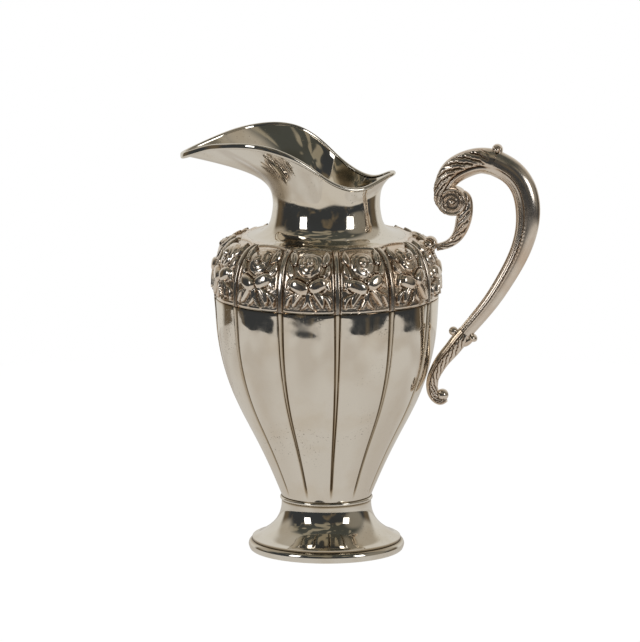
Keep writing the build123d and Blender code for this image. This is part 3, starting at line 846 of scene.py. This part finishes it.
def curled_tip(name, centre, start, radius, thickness, turns, depth):
    """A leaf tip rolled up: a strip that winds in on itself, wider than it is thick."""
    share = np.linspace(0, 1, 40)
    angle = start + share * turns * 2 * pi
    reach = radius * (1 - 0.72 * share)
    middle = np.stack([centre[0] + reach * np.cos(angle), centre[1] + reach * np.sin(angle)], axis=-1)
    size = thickness * (1 - 0.35 * share)
    line = [(x, z, thick, depth * (1 - 0.2 * part)) for (x, z), thick, part in zip(middle, size, share)]
    return limb(name, line, plain, 60, 24)


tip = curled_tip(
    "leaf_tip_curl", (108.4, 260.2), start=-2.3, radius=3.9, thickness=2.5, turns=1.1, depth=7.4
)
tip_core = bud("leaf_tip_bud", (108.8, 0, 260.3), 2.7, (1, 1.5, 1))
fit(tip, CAST_SILVER, "cast_silver", "top_bud")
fit(tip_core, CAST_SILVER, "cast_silver")

# Neck leaf
# The S-shaped casting that runs from the volute down to the shoulder, with small leaflets on
# its outer side.

NECK_LEAF_LINE = [
    (84.4, 232.4, 3.6, 5.4), (88.0, 229.8, 7.4, 7.4), (89.2, 224.0, 9.4, 8.3), (87.9, 215.8, 10.6, 8.4),
    (85.9, 208.4, 9.2, 7.8), (82.6, 202.6, 7.3, 7.0), (77.4, 198.6, 5.9, 6.4), (70.8, 196.6, 5.2, 6.0),
]


def neck_leaf_relief(far, across, side):
    """Short leaflets on the outer half, a raised line along the inner one."""
    outer = -across
    cover = leaflets(far, outer, step=6.0, slant=9.0, rise=1.1, low=-0.62, high=0.8)
    return cover - 0.25 + ridge(outer, -0.72, 0.1, 0.4)


neck_leaf = limb("neck_leaf_casting", NECK_LEAF_LINE, neck_leaf_relief, 150, 80)
fit(neck_leaf, CAST_SILVER, "cast_silver", "handle_neck_leaf")

# Shoulder bud
# The lower end of the neck leaf, curled round a bud that is soldered to the shoulder.

shoulder_ball = bud("shoulder_bud_ball", (65.2, 0, 198.3), 3.9, (1, 1.25, 1))
shoulder_curl = curled_tip(
    "shoulder_bud_curl", (65.7, 199.2), start=-0.9, radius=4.4, thickness=2.8, turns=1.0, depth=8.0
)
fit(shoulder_ball, CAST_SILVER, "cast_silver", "shoulder_bud")
fit(shoulder_curl, CAST_SILVER, "cast_silver")

# Tail
# The lower casting: a leaf sleeve over the end of the grip, a stem that touches the body and
# a tail that curls round a ball.

TAIL_LINE = [
    (89.0, 142.2, 9.9, 9.8), (85.7, 138.2, 10.8, 10.4), (80.4, 131.2, 10.6, 10.2), (74.8, 124.4, 9.8, 9.4),
    (70.6, 117.4, 8.8, 8.6), (68.0, 110.6, 8.0, 7.9), (67.9, 104.6, 7.6, 7.7), (69.8, 99.9, 6.6, 7.5),
    (73.4, 97.5, 5.2, 7.1), (76.8, 98.8, 4.0, 6.6),
]


def tail_relief(far, across, side):
    """A plain band towards the body, and toothed leaflets over the outer side."""
    outer = -across
    cover = leaflets(far, outer, step=5.6, slant=-12.0, rise=1.2, low=-0.25, high=0.95)
    spine = ridge(outer, -0.36, 0.09, 0.4) + ridge(outer, -0.22, 0.07, -0.45)
    return np.clip(far / 3, 0, 1) * (cover - 0.25) + spine


tail = limb("tail_casting", TAIL_LINE, tail_relief, 200, 88)
tail_ball = bud("tail_ball", (74.5, 0, 101.7), 3.9, (1, 1.1, 1))
fit(tail, CAST_SILVER, "cast_silver", "handle_tail")
fit(tail_ball, CAST_SILVER, "cast_silver")

# Calyx buds
# Where the sleeve ends, one lobe of the leaf holds a ball and the other turns outwards.

inner_ball = bud("calyx_inner_ball", (81.4, 0, 143.0), 2.9, (1, 1.1, 1))
inner_curl = curled_tip(
    "calyx_inner_curl", (81.3, 142.4), start=-1.2, radius=2.9, thickness=1.7, turns=0.8, depth=5.0
)
outer_lip = bud("calyx_outer_lip", (93.9, 0, 139.2), 2.7, (1.15, 1.5, 0.9), 0.7)
outer_stalk = bud("calyx_outer_stalk", (90.6, 0, 137.0), 4.0, (1.3, 1.0, 0.66), -0.75)
fit(inner_ball, CAST_SILVER, "cast_silver", "calyx_inner_bud")
fit(inner_curl, CAST_SILVER, "cast_silver")
fit(outer_lip, CAST_SILVER, "cast_silver", "calyx_outer_bud")
fit(outer_stalk, CAST_SILVER, "cast_silver")

# Studio
# The pitcher stands on a round pale table in a dim room, before a pale backdrop, between two
# windows. The camera sees the table and the room behind it as white, and the silver sees the
# table glow with painted pools of light and shade.

VIEW_TURN = radians(9.4)
VIEW_DROP = radians(10.5)
VIEW_DISTANCE, VIEW_HEIGHT, VIEW_LEFT = 4.5, 0.981, 0.0041
VIEW_LENS = 404.5
TABLE_RADIUS, TABLE_BACK = 0.61, 0.05
PAPER = (0.74, 0.725, 0.70)
PAPER_SHADED, PAPER_LIT = (0.60, 0.56, 0.515), (0.70, 0.675, 0.64)
ROOM_DIM, ROOM_CLUTTER = (0.040, 0.043, 0.046), (0.15, 0.12, 0.08)
ROOM_SIDES = (0.12, 0.092, 0.06)
CEILING = (0.065, 0.068, 0.060)
CEILING_LIT = (0.28, 0.25, 0.19)
CEILING_BEHIND = (0.42, 0.385, 0.33)
RIGHT_WALL = (0.23, 0.21, 0.175)
BACKDROP = (0.66, 0.64, 0.60)
PAST_TABLE = (0.60, 0.565, 0.515)
SEEN_WHITE = (1.0, 1.0, 1.0)

to_camera = np.array([sin(VIEW_TURN), -cos(VIEW_TURN), 0])
to_right = np.array([cos(VIEW_TURN), sin(VIEW_TURN), 0])

camera_data = bpy.data.cameras.new("photo_camera")
camera_data.lens = VIEW_LENS
camera_data.sensor_width = 36
camera_data.clip_start, camera_data.clip_end = 0.1, 50
camera = bpy.data.objects.new("photo_camera", camera_data)
bpy.context.collection.objects.link(camera)
camera.location = to_camera * VIEW_DISTANCE - to_right * VIEW_LEFT + [0, 0, VIEW_HEIGHT]
camera.rotation_euler = (pi / 2 - VIEW_DROP, 0, VIEW_TURN)
bpy.context.scene.camera = camera

bpy.ops.object.select_all(action="DESELECT")
bpy.ops.mesh.primitive_circle_add(
    vertices=180, radius=TABLE_RADIUS, fill_type="NGON", location=tuple(-TABLE_BACK * to_camera)
)
bpy.ops.object.transform_apply(location=True, rotation=True, scale=True)
table = bpy.context.object
table.name = "studio_table"
paper = bpy.data.materials.new("white_paper")
paper.use_nodes = True
tree = paper.node_tree
paper_surface = tree.nodes["Principled BSDF"]
paper_surface.inputs["Base Color"].default_value = (*PAPER, 1)
paper_surface.inputs["Roughness"].default_value = 0.9


def patches(place, low, high, **noise):
    """Soft patches of noise, from 0 below the low limit to 1 above the high."""
    grain = node(tree, "ShaderNodeTexNoise", **noise)
    limits = node(tree, "ShaderNodeMapRange", From_Min=low, From_Max=high)
    tree.links.new(place, grain.inputs["Vector"])
    tree.links.new(grain.outputs["Fac"], limits.inputs["Value"])
    return limits.outputs["Result"]


def over(factor, below, above):
    """One colour laid over another where the factor is 1."""
    mix = node(tree, "ShaderNodeMix", data_type="RGBA")
    tree.links.new(factor, mix.inputs["Factor"])
    for socket, value in (("A", below), ("B", above)):
        if isinstance(value, tuple):
            mix.inputs[socket].default_value = (*value, 1)
        else:
            tree.links.new(value, mix.inputs[socket])
    return mix.outputs["Result"]


def laid_over(ray, share, below, above):
    """One shader laid over another for one kind of ray, by its share."""
    part = node(tree, "ShaderNodeMath", operation="MULTIPLY")
    part.inputs[1].default_value = share
    mix = node(tree, "ShaderNodeMixShader")
    tree.links.new(rays.outputs[ray], part.inputs[0])
    tree.links.new(part.outputs["Value"], mix.inputs["Fac"])
    tree.links.new(below, mix.inputs[1])
    tree.links.new(above, mix.inputs[2])
    return mix.outputs["Shader"]


rays = node(tree, "ShaderNodeLightPath")
seen_white = node(tree, "ShaderNodeEmission", Strength=1.07)
# Seen in the silver, the table mostly glows: painted light, in soft pools of painted light and painted
# shade.
table_glow_in_silver = node(tree, "ShaderNodeEmission", Strength=1.0)
on_paper = node(tree, "ShaderNodeTexCoord").outputs["Object"]
painted_light_pools = patches(on_paper, 0.38, 0.62, Scale=4.5, Detail=0.5)
tree.links.new(over(painted_light_pools, PAPER_SHADED, PAPER_LIT), table_glow_in_silver.inputs["Color"])
in_silver = laid_over("Is Glossy Ray", 0.75, paper_surface.outputs["BSDF"], table_glow_in_silver.outputs["Emission"])
on_picture = laid_over("Is Camera Ray", 0.93, in_silver, seen_white.outputs["Emission"])
tree.links.new(on_picture, tree.nodes["Material Output"].inputs["Surface"])
table.data.materials.append(paper)

world = bpy.data.worlds.new("studio_room")
world.use_nodes = True
bpy.context.scene.world = world
tree = world.node_tree
background = tree.nodes["Background"]
direction = node(tree, "ShaderNodeTexCoord").outputs["Generated"]


def facing(way, low, high):
    """How far a direction turns towards a way, from 0 below the low limit to 1 above the high."""
    dot = node(tree, "ShaderNodeVectorMath", operation="DOT_PRODUCT")
    dot.inputs[1].default_value = [float(value) for value in way]
    tree.links.new(direction, dot.inputs[0])
    limits = node(tree, "ShaderNodeMapRange", From_Min=low, From_Max=high)
    limits.interpolation_type = "SMOOTHSTEP"
    tree.links.new(dot.outputs["Value"], limits.inputs["Value"])
    return limits.outputs["Result"]


up, down = (0, 0, 1), (0, 0, -1)
to_right_wall = to_right * 0.90 + to_camera * 0.26 + [0, 0, 0.34]
clutter = patches(direction, 0.56, 0.74, Scale=3.0, Detail=2.5)
lamps = patches(direction, 0.55, 0.60, Scale=2.2, Detail=1.0, Distortion=1.2)
high_behind = node(tree, "ShaderNodeMath", operation="MULTIPLY")
tree.links.new(facing(up, 0.15, 0.45), high_behind.inputs[0])
tree.links.new(facing(-to_camera, -0.05, 0.35), high_behind.inputs[1])

room = over(clutter, ROOM_DIM, ROOM_CLUTTER)
room = over(facing(to_camera, -0.45, -0.18), ROOM_SIDES, room)
room = over(facing(up, 0.50, 0.75), room, CEILING)
room = over(facing(up, 0.45, 0.6), room, over(lamps, room, CEILING_LIT))
room = over(high_behind.outputs["Value"], room, CEILING_BEHIND)
room = over(facing(to_right_wall, 0.84, 0.95), room, RIGHT_WALL)
room = over(facing(to_camera, -0.72, -0.56), BACKDROP, room)
room = over(facing(down, 0.30, 0.33), room, PAST_TABLE)
seen = node(tree, "ShaderNodeLightPath").outputs["Is Camera Ray"]
tree.links.new(over(seen, room, SEEN_WHITE), background.inputs["Color"])

WINDOW_AWAY, WINDOW_UP = 0.90, 0.41
WINDOW_SIZE = (0.24, 0.34)
WINDOW_TILT = 0.25
WINDOW_POWER = 0.8


def window(name, turn):
    """A tall window that lights the pitcher from one side of the camera."""
    lamp = bpy.data.lights.new(name, "AREA")
    lamp.shape = "RECTANGLE"
    lamp.size, lamp.size_y = WINDOW_SIZE
    lamp.energy = WINDOW_POWER
    piece = bpy.data.objects.new(name, lamp)
    bpy.context.collection.objects.link(piece)
    bearing = VIEW_TURN + turn
    away = np.array([sin(bearing), -cos(bearing), 0])
    piece.location = away * WINDOW_AWAY + [0, 0, WINDOW_UP]
    piece.rotation_euler = (pi / 2 - WINDOW_TILT, 0, bearing)


window("left_window", radians(-49))
window("right_window", radians(51))
bpy.context.scene.view_settings.view_transform = "Standard"
